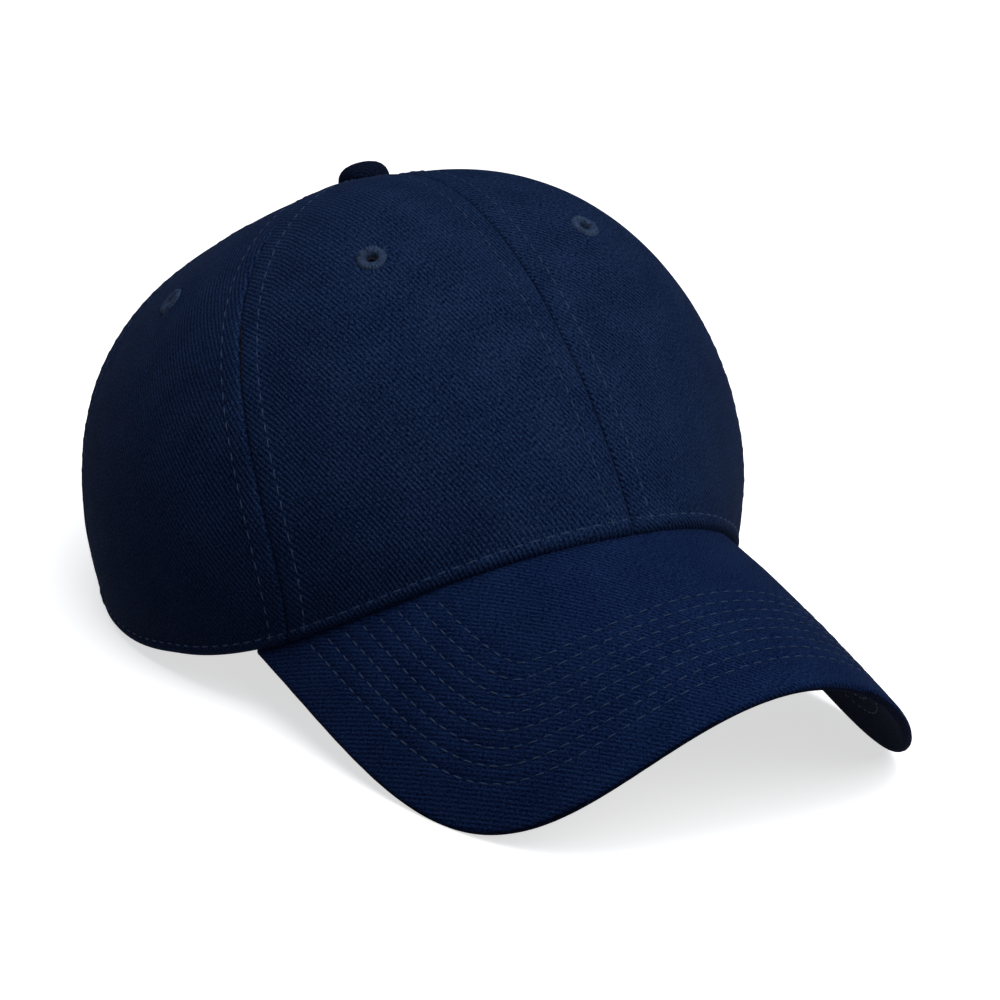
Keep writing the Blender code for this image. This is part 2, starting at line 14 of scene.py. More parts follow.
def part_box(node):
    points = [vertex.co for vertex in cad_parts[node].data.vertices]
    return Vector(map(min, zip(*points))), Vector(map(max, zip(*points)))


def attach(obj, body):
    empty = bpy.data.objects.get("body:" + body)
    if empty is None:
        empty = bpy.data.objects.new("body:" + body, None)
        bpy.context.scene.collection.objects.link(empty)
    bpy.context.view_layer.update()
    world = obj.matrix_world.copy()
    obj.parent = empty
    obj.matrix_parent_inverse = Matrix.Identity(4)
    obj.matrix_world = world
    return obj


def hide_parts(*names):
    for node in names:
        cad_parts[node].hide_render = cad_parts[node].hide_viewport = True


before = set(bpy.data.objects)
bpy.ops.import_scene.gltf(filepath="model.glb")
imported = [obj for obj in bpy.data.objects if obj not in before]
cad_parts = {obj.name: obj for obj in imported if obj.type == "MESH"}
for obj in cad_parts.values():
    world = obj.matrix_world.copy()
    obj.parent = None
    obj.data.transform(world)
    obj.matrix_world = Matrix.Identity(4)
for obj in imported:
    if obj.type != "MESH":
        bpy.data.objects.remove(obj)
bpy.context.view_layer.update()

# Crown panels
# Six gores of brushed cotton twill, sewn edge to edge with the seams pressed open, two rows of
# stitches beside each seam and one round the hem. The front two are stiffened, the others follow.
RIM_HALF_WIDTH, RIM_HALF_LENGTH = 0.0799, 0.1067
APEX_HEIGHT, APEX_BACK, APEX_TILT = 0.1210, 0.0335, math.radians(29.5)
CROWN_PROFILES = (
    # angle from the front, lean outwards at the rim, lower handle / height, upper handle / reach
    (0, -25.0, 0.207, 0.507),
    (60, 23.3, 0.486, 0.762),
    (120, 20.3, 0.602, 0.749),
    (180, 31.4, 0.714, 0.540),
)
SEAMS = (
    # angle at the rim, direction at the apex
    (0.0, 0.0),
    (61.5, 55.0),
    (120.0, 125.0),
    (180.0, 180.0),
)
SEAM_STRAIGHT_FROM = 0.8
PEAK_PROJECTION, PEAK_PITCH, PEAK_SAG, PEAK_MARGIN = 0.0736, 0.198, 0.0010, 0.0048
PEAK_ARCH = (0.0459, 0.0055, 0.0169)
PEAK_SHOULDER = (0.0273, 0.0178)
PEAK_GAP = 0.0003
RIM_BLEND, RIM_DOWN_FROM, RIM_DOWN_TO = 0.0030, -0.0100, 0.0400
CLOTH = 0.0020
SEAM_STRIP = (0.0, 0.0003, 0.0007, 0.0012, 0.0020, 0.0032, 0.0044, 0.0051, 0.0056, 0.0060, 0.0064,
              0.0069, 0.0078, 0.0092)
HEM_STRIP = (0.0, 0.0002, 0.0005, 0.0009, 0.0015, 0.0024, 0.0034, 0.0040, 0.0044, 0.0048, 0.0054, 0.0064)
SEAM_ROW, HEM_ROW = 0.0060, 0.0044
SEAM_COLUMN, HEM_LINE = SEAM_STRIP.index(SEAM_ROW), HEM_STRIP.index(HEM_ROW)
SEAM_GROOVE, SEAM_GROOVE_WIDTH, SEAM_SWELL = 0.00055, 0.0004, 0.00028
ROW_DENT, HEM_DENT, DENT_WIDTH = 0.00014, 0.00018, 0.0005
HEM_SWELL, HEM_ROLL, HEM_ROLL_HEIGHT = 0.00050, 0.0020, 0.0024
PUCKER_DEPTH, PUCKER_REACH = 0.00006, 0.011
PUCKERS = (
    # wave length / 2 pi, share, turn
    (0.0021, 1.0, 1.0),
    (0.0034, 0.8, 2.1),
    (0.0057, 1.0, 1.0),
)
SLACK_DEPTH = 0.00022
OPENING_HALF_WIDTH, OPENING_HEIGHT = 0.0440, 0.0420
EYELET_HOLE = 0.0027
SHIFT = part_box("front_panel_left")[0][1] + RIM_HALF_LENGTH
PEAK_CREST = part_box("peak")[1][2] - PEAK_PITCH * PEAK_MARGIN + PEAK_GAP


def ease(share):
    """Ease from 0 to 1."""
    share = np.clip(share, 0.0, 1.0)
    return share * share * (3.0 - 2.0 * share)


def ridge(distance, width):
    """Rounded ridge of height 1 at distance 0."""
    return np.exp(-(distance / width) ** 2)


def rim_plan(angle):
    """Point of the rim's oval in plan."""
    return RIM_HALF_WIDTH * np.sin(angle), -RIM_HALF_LENGTH * np.cos(angle)


def peak_fall(x, y):
    """How far the peak's face lies below its crest at the middle of the joint."""
    ahead = -(y + RIM_HALF_LENGTH)
    across = np.abs(x) / RIM_HALF_WIDTH
    out = ahead / PEAK_PROJECTION
    arch = PEAK_ARCH[0] + PEAK_ARCH[1] * out + PEAK_ARCH[2] * out ** 2
    shoulder = PEAK_SHOULDER[0] + PEAK_SHOULDER[1] * out
    return PEAK_PITCH * ahead + PEAK_SAG * out ** 2 + arch * across ** 2 + shoulder * across ** 4


def rim_height(x, y):
    """Height of the crown's lower edge: on the peak in front, on the surface behind."""
    meets = RIM_BLEND * np.log1p(np.exp((PEAK_CREST - peak_fall(x, y)) / RIM_BLEND))
    return meets * (1.0 - ease((y - RIM_DOWN_FROM) / (RIM_DOWN_TO - RIM_DOWN_FROM)))


def profile_value(column, angle):
    """One column of the profiles at an angle, as a smooth series round the crown."""
    known = np.radians([row[0] for row in CROWN_PROFILES])
    orders = np.arange(len(known))
    terms = np.linalg.solve(np.cos(np.outer(known, orders)), [row[column] for row in CROWN_PROFILES])
    return np.cos(np.multiply.outer(angle, orders)) @ terms


def crown_point(angle, t):
    """Points of the crown's outer face, from the rim at t = 0 to the apex at t = 1."""
    angle, t = np.broadcast_arrays(np.asarray(angle, float), np.asarray(t, float))
    x, y = rim_plan(angle)
    z = rim_height(x, y)
    base = np.stack([x, y, z], -1)
    apex = np.array([0.0, APEX_BACK, APEX_HEIGHT])
    reach = np.hypot(x, y - APEX_BACK)
    out = np.stack([x / reach, (y - APEX_BACK) / reach], -1)
    lean = np.radians(profile_value(1, angle))
    rise = profile_value(2, angle) * (APEX_HEIGHT - z)
    climb = np.concatenate([out * (rise * np.sin(lean))[..., None], (rise * np.cos(lean))[..., None]], -1)
    upright = base + climb
    over = np.stack([out[..., 0], out[..., 1], -out[..., 1] * math.tan(APEX_TILT)], -1)
    flat = apex + over * (profile_value(3, angle) * reach)[..., None]
    t, s = t[..., None], 1.0 - t[..., None]
    return s ** 3 * base + 3 * s * s * t * upright + 3 * s * t * t * flat + t ** 3 * apex


def crown_outward(angle, t):
    """Unit outward directions of the crown's outer face."""
    step = 0.002
    t = np.minimum(t, 1.0 - 2 * step)
    round_it = crown_point(angle + step, t) - crown_point(angle - step, t)
    up_it = crown_point(angle, t + step) - crown_point(angle, t - step)
    outward = np.cross(round_it, up_it)
    return outward / np.linalg.norm(outward, axis=-1, keepdims=True)


def apex_to_rim(direction):
    """Rim angle that a line from the apex reaches, from its direction in the apex's own plane."""
    x = np.sin(direction)
    y = -np.cos(direction) * math.cos(APEX_TILT)
    square = (x / RIM_HALF_WIDTH) ** 2 + (y / RIM_HALF_LENGTH) ** 2
    linear = y * APEX_BACK / RIM_HALF_LENGTH ** 2
    rest = (APEX_BACK / RIM_HALF_LENGTH) ** 2 - 1.0
    run = (-linear + np.sqrt(linear ** 2 - square * rest)) / square
    return np.arctan2(run * x / RIM_HALF_WIDTH, -(APEX_BACK + run * y) / RIM_HALF_LENGTH)


def seam_angle(seam, t):
    """Rim angle of the profile that a seam crosses at height t."""
    at_rim = math.radians(SEAMS[seam][0])
    at_apex = float(apex_to_rim(math.radians(SEAMS[seam][1])))
    return at_rim + (at_apex - at_rim) * ease(np.asarray(t, float) / SEAM_STRAIGHT_FROM)


def runs_along(points):
    """Lengths along rows of points, from each row's first one."""
    steps = np.linalg.norm(np.diff(points, axis=0), axis=-1)
    return np.concatenate([np.zeros_like(steps[:1]), np.cumsum(steps, axis=0)])


def distance_to(points, line):
    """Least distance from each point of a grid to a line, which is first divided finer."""
    fine = np.concatenate([line[:-1] + (line[1:] - line[:-1]) * part / 4 for part in range(4)] + [line[-1:]])
    return np.array([np.linalg.norm(row[:, None] - fine, axis=-1).min(axis=1) for row in points])


def panel_grid(panel, middle_columns, rows):
    """Grids of a panel: rim angle, height t, distances from both seams, runs from the rim and to the apex."""
    heights = 1.0 - np.linspace(1.0, 0.012, 170) ** 1.15
    strip = np.array(SEAM_STRIP)
    angles, before, behind = [], [], []
    for t in heights:
        coarse = np.linspace(seam_angle(panel, t), seam_angle(panel + 1, t), 60)
        run = runs_along(crown_point(coarse, t))
        fit = min(1.0, run[-1] * 0.45 / strip[-1])
        middle = np.linspace(strip[-1] * fit, run[-1] - strip[-1] * fit, middle_columns)
        marks = np.concatenate([strip[:-1] * fit, middle, run[-1] - strip[-2::-1] * fit])
        angles.append(np.interp(marks, run, coarse))
        before.append(marks)
        behind.append(run[-1] - marks)
    angles, before, behind = np.array(angles), np.array(before), np.array(behind)
    run = runs_along(crown_point(angles, heights[:, None]))
    columns = []
    for column in range(angles.shape[1]):
        above = np.linspace(HEM_STRIP[-1], run[-1, column], rows - len(HEM_STRIP) + 1)[1:]
        at = np.concatenate([HEM_STRIP, above])
        t = np.interp(at, run[:, column], heights)
        columns.append([np.interp(t, heights, angles[:, column]), t, np.interp(t, heights, before[:, column]),
                        np.interp(t, heights, behind[:, column]), at, run[-1, column] - at])
    return [np.array([column[k] for column in columns]).T for k in range(6)]


def back_point(x, z):
    """Rim angles and heights t of the crown's points at the back, from their x and z."""
    angle, t = math.pi - np.arcsin(np.clip(x / RIM_HALF_WIDTH, -0.95, 0.95)), 0.25 * z / OPENING_HEIGHT
    for _ in range(12):
        point = crown_point(angle, t)
        by_angle = (crown_point(angle + 0.001, t) - point) / 0.001
        by_t = (crown_point(angle, t + 0.001) - point) / 0.001
        off_x, off_z = x - point[..., 0], z - point[..., 2]
        scale = by_angle[..., 0] * by_t[..., 2] - by_angle[..., 2] * by_t[..., 0]
        angle = angle + (off_x * by_t[..., 2] - off_z * by_t[..., 0]) / scale
        t = t + (off_z * by_angle[..., 0] - off_x * by_angle[..., 2]) / scale
    return angle, t


def beside_gap(gone):
    """Which of a grid's kept points have a neighbour that is gone."""
    padded = np.pad(gone, 1)
    rows, columns = gone.shape
    near = np.zeros_like(gone)
    for down in range(3):
        for along in range(3):
            near |= padded[down:down + rows, along:along + columns]
    return near & ~gone


def panel_relief(before, behind, up, panel):
    """How far a panel's cloth stands out or sinks: seams, stitch rows, hem and slight puckers."""
    relief = np.zeros_like(before)
    for order, away in enumerate((before, behind)):
        relief -= SEAM_GROOVE * ridge(away, SEAM_GROOVE_WIDTH)
        relief += SEAM_SWELL * (ease(away / 0.0016) - ease((away - SEAM_ROW + 0.0002) / 0.0012))
        relief -= ROW_DENT * ridge(away - SEAM_ROW, DENT_WIDTH)
        phase = 1.7 * panel + 2.3 * order
        pucker = sum(share * np.sin(up / wave + turn * phase) for wave, share, turn in PUCKERS)
        relief += PUCKER_DEPTH * pucker * np.exp(-away / PUCKER_REACH) * ease(away / 0.004)
    relief -= HEM_DENT * ridge(up - HEM_ROW, DENT_WIDTH)
    relief += HEM_SWELL * (1.0 - ease((up - HEM_ROW + 0.0008) / 0.0016))
    relief -= HEM_ROLL * (1.0 - np.clip(up / HEM_ROLL_HEIGHT, 0.0, 1.0)) ** 2
    relief += SLACK_DEPTH * np.sin(before / 0.0135 + up / 0.031 + panel) * np.sin(up / 0.019 + 0.7 * panel)
    return relief


def cloth_grid(name, points, uv, keep=None):
    """Open cloth mesh on a grid of points with its own UV map in metres."""
    rows, columns = points.shape[:2]
    form = bmesh.new()
    layer = form.loops.layers.uv.new("cloth")
    bmesh.ops.create_grid(form, x_segments=columns - 1, y_segments=rows - 1, size=1.0)
    place = {}
    for vert in form.verts:
        column = round((vert.co.x + 1.0) / 2 * (columns - 1))
        row = round((vert.co.y + 1.0) / 2 * (rows - 1))
        place[vert.index] = (row, column)
        vert.co = points[row, column]
    for face in form.faces:
        for loop in face.loops:
            loop[layer].uv = uv[place[loop.vert.index]]
    if keep is not None:
        gone = [v for v in form.verts if not keep[place[v.index]]]
        bmesh.ops.delete(form, geom=gone, context="VERTS")
    form.normal_update()
    return form


def finish_piece(name, form, materials, outward=None):
    """Turn a bmesh into a smooth piece that rides on the cap."""
    if outward is not None:
        form.normal_update()
        score = sum(face.normal.dot(outward(face.calc_center_median())) for face in form.faces)
        if score < 0:
            bmesh.ops.reverse_faces(form, faces=form.faces)
    bmesh.ops.translate(form, verts=form.verts, vec=(0.0, SHIFT, 0.0))
    mesh = bpy.data.meshes.new(name)
    form.to_mesh(mesh)
    form.free()
    mesh.shade_smooth()
    piece = bpy.data.objects.new(name, mesh)
    bpy.context.collection.objects.link(piece)
    for material in materials:
        mesh.materials.append(material)
    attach(piece, "root")
    return piece


def away_from_middle(point):
    """Rough outward direction from the middle of the crown."""
    return point - Vector((0.0, 0.0, 0.03))


def thicken(piece, thickness, inner_slot=0):
    """Give a cloth its thickness inwards, with its inner face in a material of its own if it has one."""
    wall = piece.modifiers.new("thickness", "SOLIDIFY")
    wall.thickness = thickness
    wall.offset = -1.0
    wall.material_offset = inner_slot
    wall.use_rim = True
    wall.use_quality_normals = True


def math_node(tree, operation, *values):
    """One Math node fed by sockets or numbers."""
    node = tree.nodes.new("ShaderNodeMath")
    node.operation = operation
    for socket, value in zip(node.inputs, values):
        if isinstance(value, (int, float)):
            socket.default_value = value
        else:
            tree.links.new(value, socket)
    return node.outputs[0]


def twill_weave_group():
    """Twill: slanting wales broken by the cross threads, with loose fibres. Vector is in metres of cloth."""
    group = bpy.data.node_groups.new("twill_weave", "ShaderNodeTree")
    group.interface.new_socket("Vector", in_out="INPUT", socket_type="NodeSocketVector")
    for name in ("Slant", "Spacing"):
        group.interface.new_socket(name, in_out="INPUT", socket_type="NodeSocketFloat")
    for name in ("Wale", "Fibre", "Patch", "Height"):
        group.interface.new_socket(name, in_out="OUTPUT", socket_type="NodeSocketFloat")
    given = group.nodes.new("NodeGroupInput")
    result = group.nodes.new("NodeGroupOutput")
    wander = group.nodes.new("ShaderNodeTexNoise")
    wander.inputs["Scale"].default_value = 260.0
    wander.inputs["Detail"].default_value = 2.0
    group.links.new(given.outputs["Vector"], wander.inputs["Vector"])
    turned = group.nodes.new("ShaderNodeVectorRotate")
    turned.rotation_type = "Z_AXIS"
    group.links.new(given.outputs["Vector"], turned.inputs["Vector"])
    group.links.new(given.outputs["Slant"], turned.inputs["Angle"])
    split = group.nodes.new("ShaderNodeSeparateXYZ")
    group.links.new(turned.outputs[0], split.inputs[0])
    along = math_node(group, "DIVIDE", split.outputs["X"], given.outputs["Spacing"])
    across = math_node(group, "DIVIDE", split.outputs["Y"], given.outputs["Spacing"])
    across = math_node(group, "ADD", across, math_node(group, "MULTIPLY", wander.outputs["Fac"], 0.28))
    wave = math_node(group, "COSINE", math_node(group, "MULTIPLY", across, 2 * math.pi))
    wale = math_node(group, "MULTIPLY_ADD", wave, 0.5, 0.5)
    stagger = math_node(group, "MULTIPLY", math_node(group, "FLOOR", across), 0.37)
    step = math_node(group, "ADD", math_node(group, "MULTIPLY", along, 1.15), stagger)
    threads = math_node(group, "COSINE", math_node(group, "MULTIPLY", step, 2 * math.pi))
    cross = math_node(group, "MULTIPLY_ADD", threads, 0.5, 0.5)
    fibre = group.nodes.new("ShaderNodeTexNoise")
    fibre.inputs["Scale"].default_value = 2300.0
    fibre.inputs["Detail"].default_value = 3.0
    fibre.inputs["Roughness"].default_value = 0.65
    stretched = group.nodes.new("ShaderNodeVectorMath")
    stretched.operation = "MULTIPLY"
    stretched.inputs[1].default_value = (0.45, 1.0, 1.0)
    group.links.new(turned.outputs[0], stretched.inputs[0])
    group.links.new(stretched.outputs[0], fibre.inputs["Vector"])
    patch = group.nodes.new("ShaderNodeTexNoise")
    patch.inputs["Scale"].default_value = 75.0
    patch.inputs["Detail"].default_value = 4.0
    patch.inputs["Roughness"].default_value = 0.6
    group.links.new(given.outputs["Vector"], patch.inputs["Vector"])
    broken = math_node(group, "MULTIPLY", wale, math_node(group, "MULTIPLY_ADD", cross, 0.6, 0.4))
    height = math_node(group, "ADD", broken, math_node(group, "MULTIPLY", fibre.outputs["Fac"], 0.6))
    group.links.new(broken, result.inputs["Wale"])
    group.links.new(fibre.outputs["Fac"], result.inputs["Fibre"])
    group.links.new(patch.outputs["Fac"], result.inputs["Patch"])
    group.links.new(height, result.inputs["Height"])
    return group


TWILL_WEAVE = twill_weave_group()


def twill_material(name, dark, light, slant, spacing, depth, wale_share=0.45):
    """Brushed cotton twill on the piece's own UV map, between a dark and a light colour."""
    material = bpy.data.materials.new(name)
    material.use_nodes = True
    tree = material.node_tree
    shader = tree.nodes["Principled BSDF"]
    shader.inputs["Roughness"].default_value = 0.95
    shader.inputs["Specular IOR Level"].default_value = 0.02
    shader.inputs["Sheen Weight"].default_value = 0.02
    shader.inputs["Sheen Roughness"].default_value = 0.5
    shader.inputs["Sheen Tint"].default_value = (0.35, 0.5, 1.0, 1.0)
    cloth = tree.nodes.new("ShaderNodeUVMap")
    cloth.uv_map = "cloth"
    weave = tree.nodes.new("ShaderNodeGroup")
    weave.node_tree = TWILL_WEAVE
    weave.inputs["Slant"].default_value = math.radians(slant)
    weave.inputs["Spacing"].default_value = spacing
    tree.links.new(cloth.outputs["UV"], weave.inputs["Vector"])
    lit = math_node(tree, "MULTIPLY", weave.outputs["Wale"], wale_share)
    fibres = math_node(tree, "MULTIPLY_ADD", weave.outputs["Fibre"], 5.0, -2.15)
    lit = math_node(tree, "ADD", lit, math_node(tree, "MULTIPLY", fibres, 1.0 - wale_share))
    patches = math_node(tree, "MULTIPLY_ADD", weave.outputs["Patch"], 0.9, -0.45)
    lit = math_node(tree, "ADD", lit, math_node(tree, "MULTIPLY", patches, 0.5))
    ramp = tree.nodes.new("ShaderNodeMix")
    ramp.data_type = "RGBA"
    ramp.inputs[6].default_value = dark
    ramp.inputs[7].default_value = light
    tree.links.new(lit, ramp.inputs[0])
    tree.links.new(ramp.outputs[2], shader.inputs["Base Color"])
    bump = tree.nodes.new("ShaderNodeBump")
    bump.inputs["Strength"].default_value = 0.8
    bump.inputs["Distance"].default_value = depth
    tree.links.new(weave.outputs["Height"], bump.inputs["Height"])
    tree.links.new(bump.outputs["Normal"], shader.inputs["Normal"])
    return material


navy_twill = twill_material("navy_twill", (0.0005, 0.0037, 0.021, 1), (0.0215, 0.047, 0.122, 1),
                            slant=58, spacing=0.00122, depth=0.00030)
inner_twill = twill_material("inner_twill", (0.008, 0.004, 0.022, 1), (0.028, 0.016, 0.060, 1),
                             slant=45, spacing=0.0007, depth=0.0001)


def crown_nearest(target, side):
    """Angle and height t of the crown's point nearest to a target, found by smaller and smaller steps."""
    angle, t, reach = side * 1.4, 0.6, np.array([1.2, 0.4])
    for _ in range(30):
        angles = angle + reach[0] * np.linspace(-1, 1, 9)
        levels = np.clip(t + reach[1] * np.linspace(-1, 1, 9), 0.0, 0.995)
        grid_angle, grid_t = np.meshgrid(angles, levels)
        gap = np.linalg.norm(crown_point(grid_angle, grid_t) - target, axis=-1)
        best = np.unravel_index(np.argmin(gap), gap.shape)
        angle, t = grid_angle[best], grid_t[best]
        reach = reach * 0.6
    return angle, t


arch_turns = np.linspace(0.0, math.pi, 181)
arch_edge = back_point(OPENING_HALF_WIDTH * np.cos(arch_turns), OPENING_HEIGHT * np.sin(arch_turns))
arch_edge = crown_point(*arch_edge)
panel_faces = {}
eyelet_spots = {}
PANEL_STEPS = (
    # panel, columns between its seam strips, rows
    ("front", 36, 120),
    ("middle", 36, 120),
    ("back", 70, 170),
)
for panel, (name, middle_columns, rows) in enumerate(PANEL_STEPS):
    angle, t, before, behind, up, down = panel_grid(panel, middle_columns, rows)
    opened = np.zeros(angle.shape, bool)
    if name == "back":
        point = crown_point(angle, t)
        arch = np.hypot(point[..., 0] / OPENING_HALF_WIDTH, point[..., 2] / OPENING_HEIGHT)
        opened = arch < 1.0
        edge = beside_gap(opened)
        x, z = point[edge][:, 0] / arch[edge], point[edge][:, 2] / arch[edge]
        before[edge] -= x - point[edge][:, 0]
        behind[edge] += x - point[edge][:, 0]
        down[edge] -= z - point[edge][:, 2]
        angle[edge], t[edge] = back_point(x, z)
        up = np.minimum(up, distance_to(crown_point(angle, t), arch_edge))
        up[edge] = 0.0
    relief = panel_relief(before, behind, up, panel)
    for side, ending in ((1, "_left"), (-1, "_right")):
        outward = crown_outward(side * angle, t)
        outer = crown_point(side * angle, t) + relief[..., None] * outward
        beside_middle = side * (before - behind) / 2
        fan, turn = ease((0.13 - down) / 0.08), beside_middle / down.clip(0.001)
        uv = np.stack([beside_middle + fan * (down * np.sin(turn) - beside_middle),
                       -down * (1.0 - fan * (1.0 - np.cos(turn)))], -1)
        low, high = (np.array(corner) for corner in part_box(name + "_eyelet" + ending))
        eyelet = (low + high) / 2 - np.array([0.0, SHIFT, 0.0])
        spot = crown_nearest(eyelet, side)
        eyelet_spots[name + "_eyelet" + ending] = spot
        centre = crown_point(*spot)
        gone = np.linalg.norm(outer - centre, axis=-1) < EYELET_HOLE
        rim = beside_gap(gone)
        away = outer[rim] - centre
        outer[rim] = centre + away / np.linalg.norm(away, axis=-1, keepdims=True) * EYELET_HOLE
        form = cloth_grid(name, outer, uv, ~(gone | opened))
        cloths = [navy_twill, inner_twill]
        piece = finish_piece("cloth_" + name + "_panel" + ending, form, cloths, away_from_middle)
        thicken(piece, CLOTH, inner_slot=1)
        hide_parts(name + "_panel" + ending)
        panel_faces[name + ending] = (outer, outward, up, down, opened)

# Peak
# One stiff board covered in the same twill above and below, folded over its front edge. Eight rows
# of stitches follow that edge, and its inner margin is sewn under the crown's hem.
PEAK_THICKNESS = 0.0030
PEAK_TIP_ANGLE, PEAK_TIP_FLARE = math.radians(67.8), math.radians(3.2)
PEAK_FRONT_HANDLE, PEAK_TIP_HANDLE = 0.778, 0.771
PEAK_ROW_FIRST, PEAK_ROW_PITCH, PEAK_STITCH_ROWS = 0.0127, 0.0046, 8
PEAK_ROW_DENT, PEAK_ROW_WIDTH, PEAK_EDGE_ROUND = 0.00034, 0.0008, 0.0014


def peak_edge(share):
    """Plan points of the peak's outer edge, from the right tip at -1 to the left tip at 1."""
    front = np.array([0.0, -(RIM_HALF_LENGTH + PEAK_PROJECTION)])
    tip = np.array(rim_plan(PEAK_TIP_ANGLE))
    reach = PEAK_TIP_HANDLE * (tip[1] - front[1])
    near_tip = tip + reach * np.array([math.sin(PEAK_TIP_FLARE), -math.cos(PEAK_TIP_FLARE)])
    near_front = front + np.array([PEAK_FRONT_HANDLE * tip[0], 0.0])
    t = np.abs(share)[..., None]
    s = 1.0 - t
    point = s ** 3 * front + 3 * s * s * t * near_front + 3 * s * t * t * near_tip + t ** 3 * tip
    return np.stack([np.copysign(point[..., 0], share), point[..., 1]], -1)


def peak_top(x, y):
    """Points of the peak's upper face."""
    return np.stack([x, y, PEAK_CREST - PEAK_GAP - peak_fall(x, y)], -1)


def peak_up(x, y):
    """Unit directions up from the peak's upper face."""
    step = 0.001
    slope_x = (peak_fall(x + step, y) - peak_fall(x - step, y)) / (2 * step)
    slope_y = (peak_fall(x, y + step) - peak_fall(x, y - step)) / (2 * step)
    up = np.stack([slope_x, slope_y, np.ones_like(slope_x)], -1)
    return up / np.linalg.norm(up, axis=-1, keepdims=True)


def across_cloth(x, y):
    """Signed length over the arched face from its middle line."""
    marks = np.linspace(0.0, 1.0, 25)
    places = np.multiply.outer(marks, x)
    points = peak_top(places, np.broadcast_to(y, places.shape))
    return np.sign(x) * runs_along(points)[-1]


peak_share = np.linspace(-1.0, 1.0, 221)
outer_plan = peak_edge(peak_share)
angle = peak_share * PEAK_TIP_ANGLE
x, y = rim_plan(angle)
outward = np.stack([np.sin(angle) / RIM_HALF_WIDTH, -np.cos(angle) / RIM_HALF_LENGTH], -1)
outward /= np.linalg.norm(outward, axis=-1, keepdims=True)
inner_plan = np.stack([x, y], -1) - PEAK_MARGIN * outward
length = np.linalg.norm(outer_plan - inner_plan, axis=-1)
EDGE_STRIP = np.array((0.0035, 0.0022, 0.0014, 0.0008, 0.0004, 0.00015, 0.0))
run = np.concatenate([np.linspace(0.0, length - EDGE_STRIP[0], 92)[:-1], length - EDGE_STRIP[:, None]])
plan = inner_plan + (outer_plan - inner_plan) * (run / length)[..., None]
px, py = plan[..., 0], plan[..., 1]
top, up = peak_top(px, py), peak_up(px, py)
from_edge = distance_to(top, peak_top(*peak_edge(np.linspace(-1.0, 1.0, 400)).T))
from_edge[-1] = 0.0
past_round = np.clip(from_edge / PEAK_EDGE_ROUND, 0.0, 1.0)
round_off = 0.5 * PEAK_THICKNESS * (1.0 - np.sqrt(1.0 - (1.0 - past_round) ** 2))
quilt = np.zeros_like(px)
for row in range(PEAK_STITCH_ROWS):
    quilt -= PEAK_ROW_DENT * ridge(from_edge - PEAK_ROW_FIRST - row * PEAK_ROW_PITCH, PEAK_ROW_WIDTH)
quilt += 0.00010 * np.sin(px / 0.0017 + 3 * np.sin(py / 0.011)) * ridge(from_edge - 0.033, 0.022)
quilt *= ease(from_edge / 0.003)
upper = top + up * (quilt - round_off)[..., None]
lower = top - up * (PEAK_THICKNESS - round_off + 0.6 * np.minimum(quilt, 0.0))[..., None]
folded = runs_along(upper) - runs_along(top)
towards_edge = (outer_plan - inner_plan) / length[:, None]
uv = np.stack([across_cloth(px, py), py], -1) + folded[..., None] * towards_edge
wrapped = np.concatenate([upper, lower[-2::-1], upper[:1]])
form = cloth_grid("peak", wrapped, np.concatenate([uv, uv[-2::-1], uv[:1]]))
bmesh.ops.remove_doubles(form, verts=form.verts, dist=0.000002)
bmesh.ops.holes_fill(form, edges=form.edges, sides=0)
bmesh.ops.recalc_face_normals(form, faces=form.faces)
peak_twill = twill_material("peak_twill", (0.0004, 0.0034, 0.0235, 1), (0.0130, 0.034, 0.106, 1),
                            slant=60, spacing=0.0011, depth=0.00020, wale_share=0.42)
# A darker copy of the peak's twill: painted shade on the peak's underside and the lower half of its edge.
painted_shade_under_twill = twill_material("painted_shade_under_twill", (0.0004, 0.0014, 0.007, 1), (0.005, 0.011, 0.034, 1),
                             slant=60, spacing=0.0011, depth=0.00018, wale_share=0.42)
# Faces that look downwards take the darker copy as painted shade; the real cloth below is the same twill as
# above.
for face in form.faces:
    face.material_index = 1 if face.normal.z < -0.1 else 0
peak = finish_piece("cloth_peak", form, [peak_twill, painted_shade_under_twill])
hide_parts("peak")

# Seam tapes
# Three flat cotton tapes in golden yellow, sewn over the seams inside the crown. They cross under the
# apex, each with two rows of dark red-brown stitches near its edges.
TAPE_WIDTH, TAPE_THICKNESS = 0.0160, 0.0006
CROSSING_RADIUS, CROSSING_FADE = 0.0175, 0.0300
TAPES = (
    # name, first seam and its side, last seam and its side
    ("seam_tape_centre", 0, 1, 3, 1),
    ("seam_tape_from_right", 1, -1, 2, 1),
    ("seam_tape_from_left", 1, 1, 2, -1),
)


def near_apex(along, across, direction):
    """Angles and heights t of points near the apex, from their places in the apex's own plane."""
    x = along * math.sin(direction) + across * math.cos(direction)
    forward = along * math.cos(direction) - across * math.sin(direction)
    angle = apex_to_rim(np.arctan2(x, forward))
    plan = np.hypot(x, forward * math.cos(APEX_TILT))
    low, high = np.zeros_like(plan), np.ones_like(plan)
    for _ in range(34):
        middle = (low + high) / 2
        point = crown_point(angle, middle)
        inside = np.hypot(point[..., 0], point[..., 1] - APEX_BACK) < plan
        high = np.where(inside, middle, high)
        low = np.where(inside, low, middle)
    return angle, high


